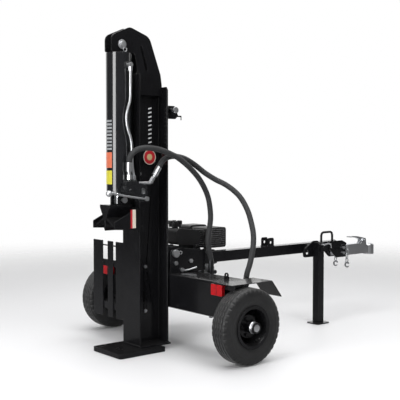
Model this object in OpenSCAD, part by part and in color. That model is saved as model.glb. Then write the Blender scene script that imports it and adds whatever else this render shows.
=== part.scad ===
// Towed hydraulic log splitter with a tilting beam, standing upright.
// +X points to the tow hitch, +Y to the trailer's left, and +Z up. The origin is on the
// ground under the middle of the upright beam.

/* [Beam] */
// Depth of the I-beam, front flange to back flange
beam_depth = 201; // [195:1:206]
// Width of the beam's flanges
beam_width = 165; // [160:1:166]
// Thickness of the beam's flanges
flange_t = 10; // [8:0.5:12]
// Thickness of the beam's web
web_t = 6; // [5:0.5:8]
// Height of the beam's top end
beam_top = 1550; // [1540:5:1560]

/* [Cylinder] */
// Bore of the hydraulic cylinder, 4.5 inch
bore_d = 114; // [110:1:116]
// Outer diameter of the cylinder's barrel
barrel_d = 141; // [136:1:144]
// Diameter of the piston rod, 2 inch
rod_d = 50.8; // [44:0.1:54]

/* [Wheels] */
// Outer diameter of a tyre, 4.80-8
tyre_d = 406; // [400:2:410]
// Width of a tyre
tyre_w = 120; // [110:2:124]
// Distance from the trailer's middle to each tyre's middle
half_track = 638; // [630:2:650]

/* [Tow bar] */
// Side of the square tow-bar tube
tongue_side = 63.5; // [60:0.5:64]
// Height of the tow bar's top face
tongue_top = 522; // [518:1:524]

/* [Hidden] */
$fn = 48;

// Running fit between a shaft and its bore, on the radius
fit = 0.05;
half_depth = beam_depth / 2;
half_width = beam_width / 2;
plate_t = 10;
foot_t = 25;
end_plate_t = 10;
beam_bottom = foot_t + end_plate_t;
cyl_x = -180;
barrel_bottom = 905;
barrel_top = 1660;
bore_top = barrel_top - 15;
cyl_pin_z = 1706;
cyl_pin_d = 31.8;
mount_gap = 50;
rod_pin_d = 25.4;
rod_pin_z = 855;
valve_port_z = 925;
valve_y = -102;
valve_low = 877;
valve_high = 960;
port_z = 1590;
bolt_x = -8;
valve_bolt_x = -45;
bolt_heights = [216, 469, 925, 997];
cradle_x = -76;
pivot_x = 147;
pivot_z = 540;
pivot_d = 31.8;
lug_y = 67;
bracket_y = 79;
latch_x = 139;
latch_z = 1358;
latch_pin_d = 16;
tank_back = 108;
tank_front = 300;
tank_low = 230;
tank_high = 427;
tank_half = 500;
wall = 4;
wheel_x = 191;
wheel_z = tyre_d / 2;
spindle_d = 30;
fender_z = tank_high;
tongue_low = tongue_top - tongue_side;
tongue_back = 250;
tongue_end = 1600;
jack_x = 1300;
jack_y = -138;
jack_side = 51;
jack_pivot_z = 490;
jack_pin_gap = 32;
ball_x = 1985;
ball_bore = 51.4;
crank_x = 430;
crank_z = 412;
engine_base = 306;
pump_mid_y = 5;
pump_inlet_z = 404;
suction_z = 384;
fin_lean = 78;
chain_x = 1690;
chain_pitch = 30.8;
chain_links = 4;
lever_pivot = [-84, 862];
spool_z = 918;
pipe_x = -148;
return_z = 948;
return_lean = 33.7;

// Routes of the two hydraulic hoses, on their middle lines
pressure_route = [
    [-184, -106, 1062], [-184, -106, 1065], [-183, -108, 1080], [-176, -113, 1100], [-160, -118, 1119],
    [-136, -122, 1133], [-105, -126, 1140], [-68, -130, 1141], [-20, -133, 1136],
    [35, -134, 1123], [88, -134, 1105], [140, -132, 1083], [225, -126, 1028],
    [308, -117, 955], [370, -110, 860], [392, -108, 752], [382, -110, 672],
    [373, -110, 605], [378, -109, 555], [390, -108, 512], [396, -108, 488],
    [396, -108, 485]];
return_route = [
    [18, -102, 1035], [33, -102, 1057.5], [54, -102, 1078], [82, -102, 1091],
    [112, -98, 1096], [150, -91, 1096], [213, -88, 1084], [280, -94, 1050],
    [340, -114, 1003], [395, -146, 963], [442, -185, 932], [475, -230, 892],
    [492, -270, 848], [502, -310, 784], [502, -340, 718], [493, -368, 656],
    [477, -386, 600], [455, -398, 540], [432, -404, 484], [415, -404, 445],
    [408, -402, 417], [408, -402, 414]];
hose_d = 32;
steel_pipe_route = [
    [-165, -95, 1580], [-165, -94, 1540], [-165, -92, 1420], [-169, -92, 1390],
    [-181, -92, 1358], [-190, -92, 1325], [-192, -92, 1300], [-188, -92, 1265],
    [-178, -92, 1232], [-166, -92, 1203], [-158, -92, 1170], [-156, -92, 1110],
    [-153, -93, 1030], [-149, -97, 996], [pipe_x, -98, 976],
    [pipe_x, -98, 966]];
pipe_d = 15;

// ---------------------------------------------------------------- shared shapes

function unit(v) = v / norm(v);
function turn(a, b) = (b - a + 540) % 360 - 180;
function arc_corner(before, corner, after, r, steps) =
    let (
        u = unit(before - corner),
        v = unit(after - corner),
        half = acos(u * v) / 2,
        middle = corner + unit(u + v) * r / sin(half),
        first = corner + u * r / tan(half) - middle,
        last = corner + v * r / tan(half) - middle,
        start = atan2(first[1], first[0]),
        sweep = turn(start, atan2(last[1], last[0])))
    [for (k = [0 : steps])
        middle + r * [cos(start + sweep * k / steps), sin(start + sweep * k / steps)]];
// Outline of [x, y, corner radius] rows, with its corners rounded
function rounded(rows, steps = 6) =
    let (n = len(rows))
    [for (i = [0 : n - 1])
        let (
            a = rows[(i + n - 1) % n],
            b = rows[i],
            c = rows[(i + 1) % n])
        each b[2] == 0 ? [[b[0], b[1]]]
            : arc_corner([a[0], a[1]], [b[0], b[1]], [c[0], c[1]], b[2], steps)];
function box_rows(x0, y0, x1, y1, r) =
    [[x0, y0, r], [x1, y0, r], [x1, y1, r], [x0, y1, r]];

module box(low, high) translate(low) cube(high - low);
module x_rod(x0, x1, y, z, d, sides = 48)
    translate([x0, y, z]) rotate([0, 90, 0]) cylinder(h = x1 - x0, d = d, $fn = sides);
module y_rod(x, y0, y1, z, d, sides = 48)
    translate([x, y0, z]) rotate([-90, 0, 0]) cylinder(h = y1 - y0, d = d, $fn = sides);
module z_rod(x, y, z0, z1, d, sides = 48)
    translate([x, y, z0]) cylinder(h = z1 - z0, d = d, $fn = sides);
// Plate standing in the XZ plane, cut to an outline of [x, z, radius] rows
module side_plate(rows, y0, y1)
    translate([0, y1, 0]) rotate([90, 0, 0]) linear_extrude(y1 - y0) polygon(rounded(rows));
// Plate facing along X, cut to an outline of [y, z, radius] rows
module cross_plate(rows, x0, x1)
    translate([x0, 0, 0]) rotate([90, 0, 90]) linear_extrude(x1 - x0) polygon(rounded(rows));
module flat_plate(rows, z0, z1)
    translate([0, 0, z0]) linear_extrude(z1 - z0) polygon(rounded(rows));

// Tube swept along a route of points, as one closed mesh
function route_turn(route, i) =
    let (n = len(route))
    unit(i == 0 ? route[1] - route[0]
        : i == n - 1 ? route[i] - route[i - 1]
        : unit(route[i + 1] - route[i]) + unit(route[i] - route[i - 1]));
function ring(centre, along, side_hint, r, sides) =
    let (
        u = unit(cross(along, side_hint)),
        v = cross(u, along))
    [for (k = [0 : sides - 1]) centre + r * (u * cos(360 * k / sides) + v * sin(360 * k / sides))];
module swept_tube(route, d, side_hint = [0, 1, 0], sides = 10) {
    n = len(route);
    points = [for (i = [0 : n - 1]) each ring(route[i], route_turn(route, i), side_hint, d / 2, sides)];
    walls = [for (i = [0 : n - 2]) for (k = [0 : sides - 1])
        let (m = (k + 1) % sides)
        [i * sides + k, i * sides + m, (i + 1) * sides + m, (i + 1) * sides + k]];
    caps = [
        [for (k = [sides - 1 : -1 : 0]) k],
        [for (k = [0 : sides - 1]) (n - 1) * sides + k]];
    polyhedron(points, concat(walls, caps), convexity = 8);
}

// ---------------------------------------------------------------- beam

module i_beam() color("#17181a") {
    difference() {
        intersection() {
            translate([0, 0, beam_bottom]) linear_extrude(beam_top - beam_bottom) difference() {
                translate([-half_depth, -half_width]) square([beam_depth, beam_width]);
                for (side = [-1, 1])
                    translate([-half_depth + flange_t, side > 0 ? web_t / 2 : -half_width - 1])
                        square([beam_depth - 2 * flange_t, half_width - web_t / 2 + 1]);
            }
            side_plate([
                [-half_depth - 1, beam_bottom - 1, 0], [half_depth + 1, beam_bottom - 1, 0],
                [half_depth + 1, beam_top - 82, 0], [60, beam_top + 1, 0],
                [-half_depth - 1, beam_top + 1, 0]], -half_width - 1, half_width + 1);
        }
        for (z = bolt_heights) y_rod(z < 600 ? bolt_x : valve_bolt_x, -web_t, web_t, z, 13);
    }
}

module foot_plate() color("#17181a") {
    flat_plate(box_rows(-270, -140, 40, 140, 16), 0, foot_t);
    box([-103, -94, foot_t], [107, 94, beam_bottom]);
}

mount_rows = [
    [-247, 1664, 8], [-247, 1752, 40], [-126, 1806, 40], [5, 1762, 60],
    [82, 1557, 20], [half_depth - flange_t, 1500, 20], [half_depth - flange_t, 1438, 6],
    [flange_t - half_depth, 1438, 6], [flange_t - half_depth, 1549, 4], [-72, 1566, 10],
    [-90, 1664, 16]];

module cylinder_mount_plates() color("#17181a") {
    for (side = [-1, 1]) difference() {
        side_plate(mount_rows, side > 0 ? mount_gap / 2 : -mount_gap / 2 - plate_t,
            side > 0 ? mount_gap / 2 + plate_t : -mount_gap / 2);
        y_rod(cyl_x, -100, 100, cyl_pin_z, cyl_pin_d + 2 * fit);
        // long hole that lightens each plate
        long_slot([-52, 1706], [-14, 1580], 16);
    }
    // tie plate between the two, above the web
    box([-60, -mount_gap / 2, 1560], [-50, mount_gap / 2, 1640]);
}

module long_slot(high, low, w) {
    angle = atan2(high[0] - low[0], high[1] - low[1]);
    length = norm(high - low);
    translate([low[0], 0, low[1]]) rotate([0, angle, 0]) {
        box([-w / 2, -100, 0], [w / 2, 100, length]);
        y_rod(0, -100, 100, 0, w);
        y_rod(0, -100, 100, length, w);
    }
}

module cylinder_pin() color("#c8cacc") {
    washer_in = mount_gap / 2 + plate_t + 0.5;
    y_rod(cyl_x, -50, 50, cyl_pin_z, cyl_pin_d);
    for (side = [-1, 1]) difference() {
        y_rod(cyl_x, side > 0 ? washer_in : -washer_in - 4, side > 0 ? washer_in + 4 : -washer_in,
            cyl_pin_z, 52);
        y_rod(cyl_x, -99, 99, cyl_pin_z, cyl_pin_d - 0.2);
    }
}

module cylinder_barrel() color("#1b1c1e") difference() {
    union() {
        z_rod(cyl_x, 0, barrel_bottom, barrel_top, barrel_d, 96);
        y_rod(cyl_x + 12, -84, -50, port_z, 36);
        y_rod(cyl_x, -84, -50, valve_port_z + 27, 36);
        box([cyl_x - 34, -24, barrel_top - 2], [cyl_x + 34, 24, cyl_pin_z]);
        y_rod(cyl_x, -24, 24, cyl_pin_z, 68);
    }
    z_rod(cyl_x, 0, barrel_bottom - 1, bore_top, bore_d, 96);
    y_rod(cyl_x, -30, 30, cyl_pin_z, cyl_pin_d + 2 * fit);
    y_rod(cyl_x + 12, -86, -40, port_z, 15);
    y_rod(cyl_x, -86, -40, valve_port_z + 27, 15);
}

module cylinder_gland() color("#2a2b2d") difference() {
    union() {
        z_rod(cyl_x, 0, barrel_bottom, barrel_bottom + 32, bore_d - 0.1, 96);
        z_rod(cyl_x, 0, barrel_bottom - 12, barrel_bottom, barrel_d - 6, 96);
    }
    z_rod(cyl_x, 0, barrel_bottom - 20, barrel_bottom + 40, rod_d + 2 * fit);
}

module control_valve() color("#1c1d1f") difference() {
    union() {
        side_plate(box_rows(-214, valve_low, -128, valve_high, 10), -120, -85);
        // long bosses over the spool and the relief valve
        x_rod(-226, -120, valve_y, spool_z, 34);
        z_rod(-180, valve_y, valve_high - 2, valve_high + 8, 34);
        z_rod(pipe_x, valve_y, valve_high - 2, valve_high + 6, 26);
        y_rod(-180, -128, -110, 905, 26);
        // lever bracket, a pair of thin ears past the spool's end
        for (y = [-118, -92]) difference() {
            side_plate([[-130, 845, 8], [-72, 845, 10], [-72, 935, 12], [-130, 950, 8]], y, y + 5);
            y_rod(-100, y - 1, y + 6, 905, 34);
        }
    }
    x_rod(-216, -110, valve_y, spool_z, 16 + 2 * fit);
    box([-125, -112.9, 850], [-60, -92.1, 960]);
    y_rod(lever_pivot[0], -130, -80, lever_pivot[1], 10 + 2 * fit);
}

module valve_spool() color("#b9bcbf") {
    x_rod(-205, -112, valve_y, spool_z, 16);
    side_plate(box_rows(-114, spool_z - 7, -86, spool_z + 7, 3), -97.5, -94);
    y_rod(-92, -110.5, -94, spool_z, 7);
}

module valve_lever() color("#c8cacc") {
    // arm between the bracket's ears, with a slot round the spool's cross pin
    difference() {
        side_plate([[-96, 846, 8], [-72, 846, 10], [-82, 932, 6], [-102, 932, 6]], -110, -100);
        y_rod(lever_pivot[0], -115, -95, lever_pivot[1], 9.8);
        box([-96.6, -112, spool_z - 7], [-87.4, -98, spool_z + 7]);
    }
    y_rod(lever_pivot[0], -136, -90, lever_pivot[1], 10);
    // handle outside the valve, reaching back to where the operator stands
    difference() {
        side_plate([[-98, 850, 8], [-72, 850, 10], [-72, 874, 10], [-98, 874, 8]], -136, -128);
        y_rod(lever_pivot[0], -140, -124, lever_pivot[1], 9.8);
    }
    swept_tube([[-92, -132, 861], [-110, -132, 863], [-160, -134, 870], [-250, -136, 884],
        [-330, -136, 898]], 12, [0, 1, 0], 10);
    // turned ball knob with the neck that the rod screws into
    translate([-351, -136, 896]) rotate([0, 90, 0]) rotate_extrude($fn = 64) polygon([
        [0, 0], for (a = [20 : 20 : 140]) [17 * sin(a), 17 - 17 * cos(a)], [10, 33], [10, 43], [0, 43]]);
}

module work_port_pipe() color("#d6d8da") {
    swept_tube(steel_pipe_route, pipe_d, [0, 1, 0], 10);
    // elbow at the cap end and flare nuts at both ends
    y_rod(cyl_x + 12, -108, -84, port_z, 26, 6);
    z_rod(cyl_x + 15, -95, port_z - 32, port_z - 8, 24, 6);
    z_rod(pipe_x, -98, valve_high + 6, valve_high + 30, 24, 6);
}

module beam_hose_fittings() color("#d2d4d6") {
    // pressure side, standing on the valve
    z_rod(-180, -103, valve_high + 8, valve_high + 34, 30, 6);
    z_rod(-182, -103, valve_high + 34, 1012, 22);
    z_rod(-184, -105, 1012, 1062, 34);
    // return side: elbow from the valve, then the crimped end that leans outward
    x_rod(-128, -40, valve_y, return_z, 18);
    translate([-40, valve_y, return_z]) rotate([0, return_lean, 0]) {
        cylinder(h = 34, d = 28, $fn = 6);
        cylinder(h = 58, d = 21);
        translate([0, 0, 50]) cylinder(h = 54.5, d = 34);
    }
}

module log_cradle() color("#17181a") {
    slats = [[107, 196], [228, 282], [337, 438]];
    for (s = slats) cross_plate(box_rows(s[0], 150, s[1], 600, 4), cradle_x, cradle_x + 6);
    for (z = [196, 449]) {
        box([cradle_x + 6, web_t / 2, z], [cradle_x + 12, 438, z + 40]);
        difference() {
            box([cradle_x + 6, web_t / 2, z], [40, web_t / 2 + 6, z + 40]);
            y_rod(bolt_x, 0, 20, z + 20, 13);
        }
    }
    y_rod(cradle_x + 10, 107, 438, 572, 8);
}

module web_bolts() color("#c4c6c8") for (z = bolt_heights) {
    nut_at = z < 600 ? web_t / 2 + 6 : web_t / 2;
    x = z < 600 ? bolt_x : valve_bolt_x;
    y_rod(x, -web_t / 2, nut_at + 16, z, 12);
    y_rod(x, -web_t / 2 - 8, -web_t / 2, z, 21, 6);
    y_rod(x, nut_at, nut_at + 10, z, 21, 6);
}

module beam_latch_bracket() color("#17181a") {
    for (side = [-1, 1]) difference() {
        side_plate([
            [half_depth, 1311, 0], [182, 1311, 12], [202, 1330, 8], [180, 1386, 18],
            [half_depth, 1386, 0]], side > 0 ? 37 : -43, side > 0 ? 43 : -37);
        y_rod(latch_x, -60, 60, latch_z, latch_pin_d + 2 * fit);
    }
    difference() {
        y_rod(latch_x, -74, -43, latch_z, 28);
        y_rod(latch_x, -80, -40, latch_z, latch_pin_d + 2 * fit);
    }
    // hook for the pin's lanyard
    box([196, -43, 1324], [226, -39, 1332]);
    box([222, -43, 1306], [226, -39, 1332]);
}

module beam_latch_pin() color("#c8cacc") {
    y_rod(latch_x, -98, -38, latch_z, latch_pin_d);
    y_rod(latch_x, -106, -98, latch_z, 34);
}

module pivot_lugs() color("#17181a") for (side = [-1, 1]) difference() {
    union() {
        side_plate([[half_depth, pivot_z - 38, 0], [pivot_x, pivot_z - 38, 0],
            [pivot_x, pivot_z + 38, 0], [half_depth, pivot_z + 38, 0]],
            side * lug_y - 5, side * lug_y + 5);
        y_rod(pivot_x, side * lug_y - 5, side * lug_y + 5, pivot_z, 76);
    }
    y_rod(pivot_x, -90, 90, pivot_z, pivot_d + 2 * fit);
}

// ---------------------------------------------------------------- ram and wedge

module piston() color("#8d9094") difference() {
    z_rod(cyl_x, 0, 1575, 1625, bore_d - 2 * fit, 96);
    z_rod(cyl_x, 0, 1570, 1630, 36);
    for (z = [1587, 1607]) difference() {
        z_rod(cyl_x, 0, z, z + 6, bore_d + 2, 96);
        z_rod(cyl_x, 0, z - 1, z + 7, bore_d - 8, 96);
    }
}

module piston_rod() color("#c9ccd0") difference() {
    union() {
        z_rod(cyl_x, 0, 834, 1575, rod_d);
        z_rod(cyl_x, 0, 1575, 1625, 36);
        z_rod(cyl_x, 0, 1625, 1640, 55, 6);
    }
    y_rod(cyl_x, -40, 40, rod_pin_z, rod_pin_d + 0.1);
}

module rod_pin() color("#c4c6c8") {
    y_rod(cyl_x, -54, 54, rod_pin_z, rod_pin_d);
    y_rod(cyl_x, -60, -54, rod_pin_z, 34);
}

module wedge_slide() color("#17181a") {
    back = -half_depth - 1.5;
    translate([0, 0, 680]) linear_extrude(132) difference() {
        translate([-123, -95]) square([123 - half_depth + 21, 190]);
        translate([back, -half_width - 1.5])
            square([flange_t + 3, beam_width + 3]);
        translate([back, -64]) square([60, 128]);
    }
    // gib screws along both keepers
    for (side = [-1, 1]) for (z = [705, 788])
        y_rod(-95, side > 0 ? 95 : -103, side > 0 ? 103 : -95, z, 14, 6);
}

module wedge() color("#17181a") {
    // nose that spreads the log, with the cutting edge below it
    cross_plate([
        [-48, 830, 3], [48, 830, 3], [48, 815, 3], [8, 748, 6], [8, 704, 0],
        [0, 688, 0], [-8, 704, 0], [-8, 748, 6], [-48, 815, 3]], -275, -123);
    // ears for the rod's pin
    for (side = [-1, 1]) difference() {
        side_plate([[-212, 828, 0], [-123, 828, 0], [-123, 846, 4], [-160, 880, 14],
            [-212, 880, 16]], side > 0 ? 28 : -40, side > 0 ? 40 : -28);
        y_rod(cyl_x, -60, 60, rod_pin_z, rod_pin_d + 0.1);
    }
    // cheeks that ride outside the slide, and the sloping wings that join them to the nose
    for (side = [-1, 1]) {
        side_plate([[-282, 699, 4], [-282, 740, 8], [-175, 792, 20], [-112, 808, 6], [-112, 690, 6]],
            side > 0 ? 103.5 : -109.5, side > 0 ? 109.5 : -103.5);
        cross_plate([[side * 8, 752, 0], [side * 104, 704, 0], [side * 104, 714, 0],
            [side * 12, 762, 0]], -275, -150);
        box([-123, side > 0 ? 95 : -104, 735], [-113, side > 0 ? 104 : -95, 765]);
    }
}

// ---------------------------------------------------------------- tank, axle and wheels

module hydraulic_tank() color("#161719") {
    difference() {
        side_plate(box_rows(tank_back, tank_low, tank_front, tank_high, 14), -tank_half, tank_half);
        side_plate(box_rows(tank_back + wall, tank_low + wall, tank_front - wall,
            tank_high - wall, 10), -tank_half + wall, tank_half - wall);
        z_rod(215, 300, tank_high - 10, tank_high + 10, 50);
        z_rod(150, -400, tank_low - 10, tank_low + 10, 20);
        x_rod(tank_front - 10, tank_front + 10, pump_mid_y, suction_z, 26);
        x_rod(tank_front - 10, tank_front + 10, -402, 360, 20);
    }
    // lifting eye on the top face
    difference() {
        union() {
            cross_plate([[-478, tank_high, 0], [-442, tank_high, 0], [-446, tank_high + 20, 6],
                [-474, tank_high + 20, 6]], 205, 213);
            x_rod(205, 213, -460, tank_high + 22, 30);
        }
        x_rod(200, 220, -460, tank_high + 24, 14);
    }
}

module tank_filler_cap() color("#141414") difference() {
    union() {
        z_rod(215, 300, tank_high + 0.4, tank_high + 26, 66);
        z_rod(215, 300, tank_high - 14, tank_high + 1, 50 - 2 * fit);
        for (k = [0 : 11]) translate([215, 300, tank_high + 4]) rotate([0, 0, 30 * k])
            translate([32, 0, 0]) cylinder(h = 20, d = 5, $fn = 16);
    }
    z_rod(215, 300, tank_high - 20, tank_high + 15, 38);
}

module axle_stubs() color("#1c1d1f") for (side = [-1, 1]) {
    cross_y = side * tank_half;
    side_plate([[tank_back + 4, 395, 10], [tank_back + 4, 230, 30], [wheel_x - 38, 160, 20],
        [wheel_x + 38, 160, 20], [tank_front - 8, 230, 30], [tank_front - 8, 395, 10]],
        min(cross_y, cross_y + side * 10), max(cross_y, cross_y + side * 10));
    y_rod(wheel_x, min(cross_y, side * 575), max(cross_y, side * 575), wheel_z, 44);
    y_rod(wheel_x, min(cross_y, side * 706), max(cross_y, side * 706), wheel_z, spindle_d);
    // washer and castle nut that hold the hub on
    y_rod(wheel_x, min(side * 694, side * 698), max(side * 694, side * 698), wheel_z, 44);
    y_rod(wheel_x, min(side * 698, side * 712), max(side * 698, side * 712), wheel_z, 42, 6);
}

module fenders() color("#17181a") for (side = [-1, 1]) {
    inner = side * tank_half;
    outer = side * 648;
    low_y = min(inner, outer);
    high_y = max(inner, outer);
    // top, with its front flap folded down
    side_plate([[80, fender_z - 4, 0], [80, fender_z, 0], [371, fender_z, 0], [444, fender_z - 92, 0],
        [440, fender_z - 95, 0], [369, fender_z - 4, 0]], low_y, high_y);
    // back skirt that carries the lamp
    cross_plate([[inner, fender_z - 4, 0], [inner, 296, 0], [side * 548, 296, 0],
        [side * 568, 326, 0], [side * 568, 395, 0], [outer, 395, 0], [outer, fender_z - 4, 0]],
        tank_back - 8, tank_back - 4);
    // strip that fixes it to the tank's end
    box([tank_back, min(inner, inner + side * 4), 397],
        [tank_front - 6, max(inner, inner + side * 4), fender_z - 4]);
}

module tail_lights() color("#d4202a") for (side = [-1, 1]) {
    a = side * 482;
    b = side * 570;
    cross_plate(box_rows(min(a, b), 361, max(a, b), 419, 5), tank_back - 30, tank_back - 8);
}

module tyre() color("#1d1e20") {
    half = tyre_w / 2;
    top = tyre_d / 2;
    rotate([-90, 0, 0]) rotate_extrude($fn = 96) polygon(rounded([
        [101, -46, 0], [118, -50, 10], [150, -half, 26], [186, -half + 4, 14],
        [top - 1, -half + 19, 8], [top, 0, 0], [top - 1, half - 19, 8], [186, half - 4, 14],
        [150, half, 26], [118, 50, 10], [101, 46, 0]]));
}

module rim() color("#131315") rotate([-90, 0, 0]) difference() {
    union() {
        // rolled rim
        rotate_extrude($fn = 96) polygon([[97, -46], [101, -46], [101, -52], [114, -54], [114, -58],
            [97, -56], [88, -36], [84, 0], [88, 36], [97, 56], [114, 58], [114, 54], [101, 52],
            [101, 46], [97, 46], [92, 32], [88, 0], [92, -32]]);
        // dished centre disc
        rotate_extrude($fn = 96) polygon([[20, 6], [58, 6], [68, -10], [86, -18], [86, -14],
            [71, -5], [61, 12], [20, 12]]);
        // hub barrel, and its cap
        translate([0, 0, -40]) cylinder(h = 94, d = 62);
        translate([0, 0, 54]) cylinder(h = 26, d = 58);
        for (k = [0 : 4]) rotate([0, 0, 72 * k]) translate([45, 0, 12]) cylinder(h = 9, d = 19, $fn = 6);
    }
    translate([0, 0, -50]) cylinder(h = 110, d = spindle_d + 2 * fit);
    translate([0, 0, 54]) cylinder(h = 22, d = 50);
}

module wheel_place(side) translate([wheel_x, side * half_track, wheel_z])
    rotate([0, 0, side > 0 ? 0 : 180]) children();
module tyre_right() wheel_place(-1) tyre();
module rim_right() wheel_place(-1) rim();
module tyre_left() wheel_place(1) tyre();
module rim_left() wheel_place(1) rim();

// ---------------------------------------------------------------- tow bar and beam pivot

module tongue_tube() color("#17181a") {
    half = tongue_side / 2;
    difference() {
        box([tongue_back, -half, tongue_low], [tongue_end, half, tongue_top]);
        box([tongue_back - 1, -half + 5, tongue_low + 5], [tongue_end + 1, half - 5, tongue_top - 5]);
    }
    // seat that takes the lowered beam's latch
    box([932, -half, tongue_top], [998, half, tongue_top + 4]);
    for (side = [-1, 1]) difference() {
        side_plate([[938, tongue_top, 0], [992, tongue_top, 0], [992, 578, 12], [938, 578, 12]],
            side > 0 ? 26 : -32, side > 0 ? 32 : -26);
        y_rod(965, -60, 60, 548, latch_pin_d + 1);
    }
}

module pivot_bracket() color("#17181a") {
    half = tongue_side / 2;
    for (side = [-1, 1]) difference() {
        side_plate([[114, tank_high, 4], [371, tank_high, 4], [371, 548, 14], [240, 562, 20],
            [190, 570, 20], [114, 562, 14]], side * bracket_y - 4, side * bracket_y + 4);
        y_rod(pivot_x, -100, 100, pivot_z, pivot_d + 2 * fit);
        y_rod(151, -100, 100, 484, 17);
        y_rod(261, -100, 100, 490, 17);
        y_rod(196, -100, 0, 442, 12 + 2 * fit);
    }
    // walls across, with a square hole that the tow bar is welded into
    for (x = [286, 350]) difference() {
        box([x, -bracket_y + 4, x < 300 ? tank_high : 440], [x + 8, bracket_y - 4, 545]);
        box([x - 1, -half, tongue_low], [x + 9, half, tongue_top]);
    }
}

module pivot_pin() color("#c8cacc") {
    y_rod(pivot_x, -92, 92, pivot_z, pivot_d);
    y_rod(pivot_x, -100, -83, pivot_z, 44);
    y_rod(pivot_x, 84, 88, pivot_z, 50);
}

module bracket_bolts() color("#c4c6c8") {
    for (p = [[151, 484], [261, 490]]) for (side = [-1, 1]) {
        y_rod(p[0], side > 0 ? 60 : -92, side > 0 ? 92 : -60, p[1], 16);
        y_rod(p[0], side > 0 ? 83 : -93, side > 0 ? 93 : -83, p[1], 26, 6);
        y_rod(p[0], side > 0 ? 63 : -75, side > 0 ? 75 : -63, p[1], 26, 6);
    }
}

module tilt_lock_lever() color("#cfd1d3") {
    y_rod(196, -92, -64, 442, 12);
    side_plate([[184, 430, 10], [208, 430, 10], [208, 454, 10], [184, 454, 10]], -92, -85);
    swept_tube([[200, -88.5, 439], [220, -90, 437], [250, -94, 441], [292, -100, 452]], 11,
        [0, 1, 0], 10);
    // cam inside the bracket
    side_plate([[186, 432, 9], [206, 432, 9], [204, 476, 6], [190, 476, 6]], -72, -64);
}

module grab_handle() color("#17181a") {
    z0 = tongue_top;
    swept_tube([[1480, 0, z0], [1480, 0, z0 + 38], [1486, 0, z0 + 54], [1500, 0, z0 + 60],
        [1572, 0, z0 + 60], [1586, 0, z0 + 54], [1592, 0, z0 + 38], [1592, 0, z0]], 16,
        [0, 1, 0], 12);
}

module jack_mount() color("#17181a") {
    half = tongue_side / 2;
    difference() {
        union() {
            side_plate([[1190, 440, 16], [1350, 440, 16], [1356, 470, 10], [1356, 512, 14],
                [1320, 545, 20], [1280, 545, 20], [1200, 500, 20], [1184, 470, 20]], -112, -104);
            box([1270, -104, 465], [1330, -half, 515]);
        }
        y_rod(1222, -120, -90, 470, 26);
        y_rod(jack_x, -113, -98, jack_pivot_z + jack_pin_gap, 13);
        y_rod(jack_x + jack_pin_gap, -113, -98, jack_pivot_z, 13);
    }
    y_rod(jack_x, -172, -112, jack_pivot_z, 20);
    y_rod(jack_x, -176, -168, jack_pivot_z, 30, 6);
}

module jack_leg() color("#17181a") {
    half = jack_side / 2;
    difference() {
        box([jack_x - half, jack_y - half, 8], [jack_x + half, jack_y + half, 536]);
        box([jack_x - half + 4, jack_y - half + 4, 7], [jack_x + half - 4, jack_y + half - 4, 540]);
        y_rod(jack_x, -180, -100, jack_pivot_z, 20 + 2 * fit);
        y_rod(jack_x, -180, -100, jack_pivot_z + jack_pin_gap, 12 + 2 * fit);
    }
    flat_plate(box_rows(jack_x - 58, jack_y - 50, jack_x + 58, jack_y + 50, 10), 0, 8);
}

module jack_pin() color("#cfd1d3") {
    z = jack_pivot_z + jack_pin_gap;
    y_rod(jack_x, -190, -114, z, 12);
    swept_tube([[jack_x, -186, z], [jack_x + 22, -187, z + 4], [jack_x + 44, -188, z + 8],
        [jack_x + 64, -188, z], [jack_x + 70, -188, z - 24]], 9, [0, 1, 0], 10);
}

// ---------------------------------------------------------------- hitch

module coupler_gusset() color("#17181a") {
    half = tongue_side / 2;
    for (side = [-1, 1]) difference() {
        side_plate([[1519, 521, 0], [1655, 521, 10], [1702, 500, 14], [1702, 404, 12],
            [1596, 404, 14], [1519, 470, 14]], side > 0 ? half : -half - 6, side > 0 ? half + 6 : -half);
        for (z = [432, 468]) y_rod(1664, -60, 60, z, 14);
    }
}

module coupler_body() color("#b7bbbf") {
    difference() {
        union() {
            // channel between the gusset plates
            box([1608, -half_tongue(), 412], [1840, half_tongue(), 486]);
            side_plate([[1830, 412, 0], [1950, 412, 10], [1950, 470, 20], [1830, 486, 0]], -30, 30);
            z_rod(ball_x, 0, 402, 462, 84, 64);
            translate([ball_x, 0, 462]) rotate_extrude($fn = 64)
                polygon([[0, 0], [42, 0], [40, 8], [32, 15], [18, 19], [0, 20]]);
        }
        box([1600, -half_tongue() + 5, 400], [1835, half_tongue() - 5, 481]);
        box([1834, -20, 400], [1944, 20, 462]);
        z_rod(ball_x, 0, 390, 452, ball_bore, 64);
        for (z = [432, 468]) y_rod(1664, -60, 60, z, 14);
    }
    // adjusting bolts through the gusset
    for (z = [432, 468]) {
        y_rod(1664, -50, 50, z, 13.8);
        y_rod(1664, -50, -38, z, 22, 6);
        y_rod(1664, 38, 50, z, 22, 6);
    }
    // ears that carry the latch
    for (side = [-1, 1]) difference() {
        side_plate([[1872, 470, 0], [1940, 470, 0], [1936, 520, 12], [1906, 520, 12]],
            side > 0 ? 16 : -20, side > 0 ? 20 : -16);
        y_rod(1920, -40, 40, 505, 10 + 2 * fit);
    }
}
function half_tongue() = tongue_side / 2;

module coupler_latch() color("#9ea2a6") {
    y_rod(1920, -26, 26, 505, 10);
    difference() {
        side_plate([[1930, 498, 6], [1930, 520, 8], [1850, 536, 10], [1786, 541, 5], [1786, 533, 3],
            [1850, 524, 10], [1900, 498, 6]], -13, 13);
        y_rod(1920, -20, 20, 505, 9.8);
    }
    box([1770, -20, 532], [1792, 20, 538]);
}

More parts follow.
